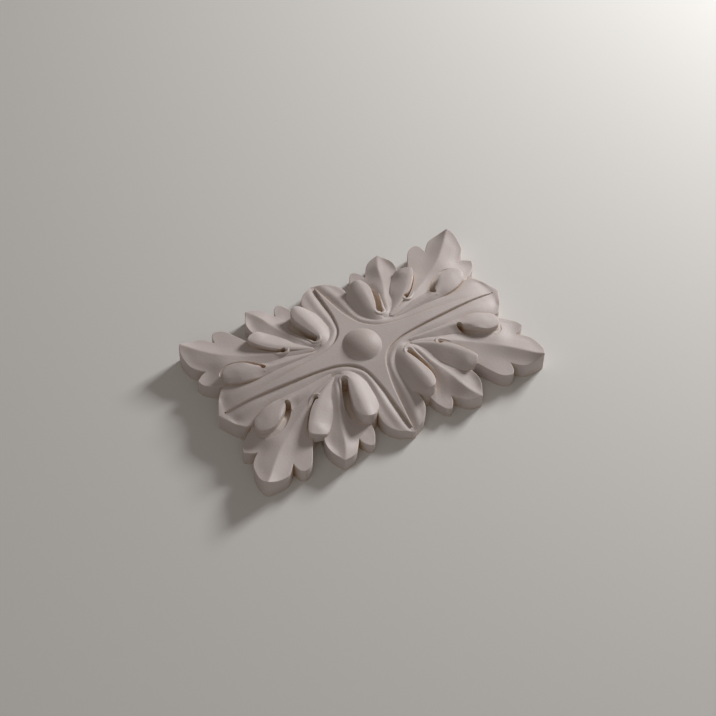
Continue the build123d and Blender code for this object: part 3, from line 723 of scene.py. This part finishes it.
# The finish. Pattern sizes are in metres: clouding of the resin, grain of the mould, the fine layers
# that the mould took from its master (drawn 1 mm apart, as finer ones wouldn't show) and air pits.
# A reach is where a tint or the layers begin, where they are fullest, and how full they get: by the
# distance from the middle for the boss, by how open a place is for the painted shade tints, by slope for
# the layers.
resin = {
    "lit": "#CDC2BF", "dull": "#C1B6B2", "roughness": (0.50, 0.64), "ior": 1.5,
    "boss": "#BBAFAA", "bossReach": (0.0125, 0.0119, 1),
    # Painted shade: a warm tan in half-closed places stands in for the warm shade and the light that glows
    # through the resin in the gaps
    "paintedWarmShade": "#C9B58C", "paintedWarmShadeReach": (0.72, 0.25, 0.6),
    # Painted shade: a deep amber in the most closed gaps stands in for their dark warm shade and glow
    "paintedDeepShade": "#B87834", "paintedDeepShadeReach": (0.24, 0.04, 0.9),
    "shadowReach": 0.007,
    "cloud": 0.022222, "grain": 0.0014, "grainShare": 0.5, "pitEvery": 0.0035, "pitShare": 0.09,
    "layer": 0.0010, "layerReach": (0.95, 0.2, 0.32),
    "bumpStrength": 0.9, "bumpHeight": 0.00022,
    "glow": 0.10, "glowRadius": (1.0, 0.65, 0.40), "glowDepth": 0.002,
}


def castResin():
    # Ivory resin cast in a soft mould: an eggshell sheen, faint layer lines on the walls and a few tiny air
    # pits. The warm depths in the gaps come partly from light going into the resin and partly from painted
    # shade: tints by how open a place is.
    material = bpy.data.materials.new("ivoryCastResin")
    material.use_nodes = True
    tree = material.node_tree
    tree.nodes.clear()

    place = addNode(tree, "ShaderNodeTexCoord", out="Object")
    cloud = addNode(tree, "ShaderNodeTexNoise", {"Scale": 1 / resin["cloud"], "Detail": 3},
                    {"Vector": place})
    colour = addNode(tree, "ShaderNodeMix",
                     {"data_type": "RGBA", 6: linear(resin["lit"]), 7: linear(resin["dull"])},
                     {0: cloud}, out=2)
    flat = addNode(tree, "ShaderNodeVectorMath", {"operation": "MULTIPLY", 1: (1, 1, 0)}, {0: place})
    fromMiddle = addNode(tree, "ShaderNodeVectorMath", {"operation": "LENGTH"}, {0: flat}, out="Value")
    # How open a place is: the mask of the painted shade tints in the gaps and hollows
    openness = addNode(tree, "ShaderNodeAmbientOcclusion", {"Distance": resin["shadowReach"], "samples": 6},
                       out="AO")
    # The boss tint goes by the distance from the middle; the two tints by openness paint warm shade into
    # the gaps
    for source, tint in ((fromMiddle, "boss"), (openness, "paintedWarmShade"), (openness, "paintedDeepShade")):
        begins, ends, most = resin[tint + "Reach"]
        amount = addNode(tree, "ShaderNodeMapRange", {1: begins, 2: ends, 3: 0, 4: most}, {0: source})
        colour = addNode(tree, "ShaderNodeMix", {"data_type": "RGBA", 7: linear(resin[tint])},
                         {0: amount, 6: colour}, out=2)
    gloss = addNode(tree, "ShaderNodeMapRange", {3: resin["roughness"][0], 4: resin["roughness"][1]},
                    {0: cloud})

    grain = addNode(tree, "ShaderNodeTexNoise", {"Scale": 1 / resin["grain"], "Detail": 4},
                    {"Vector": place})
    pits = addNode(tree, "ShaderNodeTexVoronoi", {"Scale": 1 / resin["pitEvery"]}, {"Vector": place},
                   out="Distance")
    pitted = addNode(tree, "ShaderNodeMapRange", {1: 0, 2: resin["pitShare"], 3: -1, 4: 0}, {0: pits})
    height = addNode(tree, "ShaderNodeSeparateXYZ", None, {0: place}, out=2)
    phase = addNode(tree, "ShaderNodeMath", {"operation": "MULTIPLY", 1: 2 * math.pi / resin["layer"]},
                    {0: height})
    layer = addNode(tree, "ShaderNodeMath", {"operation": "SINE"}, {0: phase})
    normal = addNode(tree, "ShaderNodeNewGeometry", out="True Normal")
    upward = addNode(tree, "ShaderNodeSeparateXYZ", None, {0: normal}, out=2)
    level = addNode(tree, "ShaderNodeMath", {"operation": "ABSOLUTE"}, {0: upward})
    begins, ends, most = resin["layerReach"]
    onWall = addNode(tree, "ShaderNodeMapRange", {1: begins, 2: ends, 3: 0, 4: most}, {0: level})
    lines = addNode(tree, "ShaderNodeMath", {"operation": "MULTIPLY"}, {0: layer, 1: onWall})
    rough = addNode(tree, "ShaderNodeMath", {"operation": "MULTIPLY_ADD", 1: resin["grainShare"]},
                    {0: grain, 2: pitted})
    relief = addNode(tree, "ShaderNodeMath", {"operation": "ADD"}, {0: rough, 1: lines})
    bump = addNode(tree, "ShaderNodeBump",
                   {"Strength": resin["bumpStrength"], "Distance": resin["bumpHeight"]}, {"Height": relief})
    shader = addNode(tree, "ShaderNodeBsdfPrincipled",
                     {"IOR": resin["ior"], "Subsurface Weight": resin["glow"],
                      "Subsurface Radius": resin["glowRadius"], "Subsurface Scale": resin["glowDepth"]},
                     {"Base Color": colour, "Roughness": gloss, "Normal": bump})
    addNode(tree, "ShaderNodeOutputMaterial", None, {"Surface": shader})
    return material


# The whole: the quarter mirrored across both middle planes, with the strap, the boss and a flat back
whole = {"mirrors": [(-1, 1, 1), (-1, -1, 1), (1, -1, 1)], "block": (300, 300, 20), "sharpAngle": 38}


def mirrorTree():
    # Geometry Nodes: mirrored copies of the quarter, joined with the strap and boss, cut flat below
    tree = bpy.data.node_groups.new("mirroredQuarters", "GeometryNodeTree")
    for name, kind in (("Quarter", "Geometry"), ("Strap", "Object"), ("Boss", "Object"),
                       ("Block Size", "Vector"), ("Block Drop", "Vector"), ("Unit", "Float"),
                       ("Finish", "Material")):
        tree.interface.new_socket(name, in_out="INPUT", socket_type="NodeSocket" + kind)
    tree.interface.new_socket("Rosette", in_out="OUTPUT", socket_type="NodeSocketGeometry")
    given = tree.nodes.new("NodeGroupInput").outputs
    joined = tree.nodes.new("GeometryNodeMeshBoolean")
    joined.operation = "UNION"
    joined.solver = "MANIFOLD"
    tree.links.new(given["Quarter"], joined.inputs[1])
    for scale in whole["mirrors"]:
        copy = addNode(tree, "GeometryNodeTransform", {"Scale": scale}, {"Geometry": given["Quarter"]})
        if scale[0] * scale[1] < 0:  # a single mirroring turns the faces inside out
            copy = addNode(tree, "GeometryNodeFlipFaces", None, {"Mesh": copy})
        tree.links.new(copy, joined.inputs[1])
    for name in ("Strap", "Boss"):
        carried = addNode(tree, "GeometryNodeObjectInfo", None, {"Object": given[name]}, out="Geometry")
        tree.links.new(carried, joined.inputs[1])
    block = addNode(tree, "GeometryNodeMeshCube", None, {"Size": given["Block Size"]})
    block = addNode(tree, "GeometryNodeTransform", None,
                    {"Geometry": block, "Translation": given["Block Drop"]})
    cut = addNode(tree, "GeometryNodeMeshBoolean", {"operation": "DIFFERENCE", "solver": "MANIFOLD"},
                  {0: joined.outputs[0], 1: block})
    sized = addNode(tree, "GeometryNodeTransform", None, {"Geometry": cut, "Scale": given["Unit"]})
    real = addNode(tree, "GeometryNodeRealizeInstances", None, {0: sized})
    finished = addNode(tree, "GeometryNodeSetMaterial", None, {0: real, "Material": given["Finish"]})
    addNode(tree, "NodeGroupOutput", None, {0: finished})
    return tree


step = rosette.modifiers.new("mirroredQuarters", "NODES")
step.node_group = mirrorTree()
values = {"Strap": strapCast, "Boss": bossCast, "Block Size": whole["block"],
          "Block Drop": (0, 0, -whole["block"][2] / 2), "Unit": mm, "Finish": castResin()}
for socket in step.node_group.interface.items_tree:
    if socket.in_out == "INPUT" and socket.name in values:
        step[socket.identifier] = values[socket.name]
plainMesh(rosette)
bpy.data.objects.remove(strapCast)
bpy.data.objects.remove(bossCast)
rosette.name = "rosetteCast"
rosette.data.name = "rosetteCast"
rosette.data.shade_smooth()
rosette.data.set_sharp_from_angle(angle=math.radians(whole["sharpAngle"]))
print("rosette has", len(rosette.data.polygons), "faces")
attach(rosette, "root")
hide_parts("rosette")

# The studio: a plain pale floor, one soft key lamp from the right and a wide fill from the front left
studio = {
    "floorSize": 6, "floor": "#E0DFDC", "floorRoughness": 0.9, "world": "#FFF1E6", "worldStrength": 0.17,
    "lamps": {  # place, size and power
        "key": ((1.04, 0.30, 0.50), 0.30, 12.5),
        "fill": ((-0.8, -0.85, 0.9), 1.4, 2.4),
    },
}


def makeStudio():
    bpy.ops.mesh.primitive_plane_add(size=studio["floorSize"])
    floor = bpy.context.object
    floor.name = "paleFloor"
    material = bpy.data.materials.new("palePaper")  # matt paper: no shine, an even pale ground
    material.use_nodes = True
    shader = material.node_tree.nodes["Principled BSDF"]
    shader.inputs["Base Color"].default_value = linear(studio["floor"])
    shader.inputs["Roughness"].default_value = studio["floorRoughness"]
    floor.data.materials.append(material)
    for name, (place, size, power) in studio["lamps"].items():
        light = bpy.data.lights.new(name, "AREA")
        light.size = size
        light.energy = power
        lamp = bpy.data.objects.new(name, light)
        bpy.context.scene.collection.objects.link(lamp)
        lamp.location = place
        lamp.rotation_euler = (-Vector(place)).to_track_quat("-Z", "Y").to_euler()
    world = bpy.data.worlds.new("world")
    bpy.context.scene.world = world
    world.use_nodes = True
    sky = world.node_tree.nodes["Background"]
    sky.inputs[0].default_value = linear(studio["world"])
    sky.inputs[1].default_value = studio["worldStrength"]
    bpy.context.scene.view_settings.view_transform = "Standard"


# The photo's viewing angle: turns in degrees, distance and aim in metres, lens on a 36 mm sensor
view = {"azimuth": -30.7233, "elevation": 53.2566, "roll": 1.2422, "distance": 1.1464,
        "aim": (-0.00615, -0.00543, 0.0168), "lens": 90.48, "sensor": 36, "clipStart": 0.01}


def addCamera():
    a = math.radians(view["azimuth"])
    e = math.radians(view["elevation"])
    r = math.radians(view["roll"])
    right = Vector((math.cos(a), math.sin(a), 0))
    back = Vector((math.sin(a) * math.cos(e), -math.cos(a) * math.cos(e), math.sin(e)))
    up = back.cross(right)
    rolledRight = right * math.cos(r) + up * math.sin(r)
    rolledUp = up * math.cos(r) - right * math.sin(r)
    camera = bpy.data.cameras.new("camera")
    camera.lens = view["lens"]
    camera.sensor_width = view["sensor"]
    camera.clip_start = view["clipStart"]
    thing = bpy.data.objects.new("camera", camera)
    bpy.context.scene.collection.objects.link(thing)
    turned = Matrix((rolledRight, rolledUp, back)).transposed().to_4x4()
    thing.matrix_world = Matrix.Translation(Vector(view["aim"]) + back * view["distance"]) @ turned
    bpy.context.scene.camera = thing


makeStudio()
addCamera()
print("studio and camera are set")
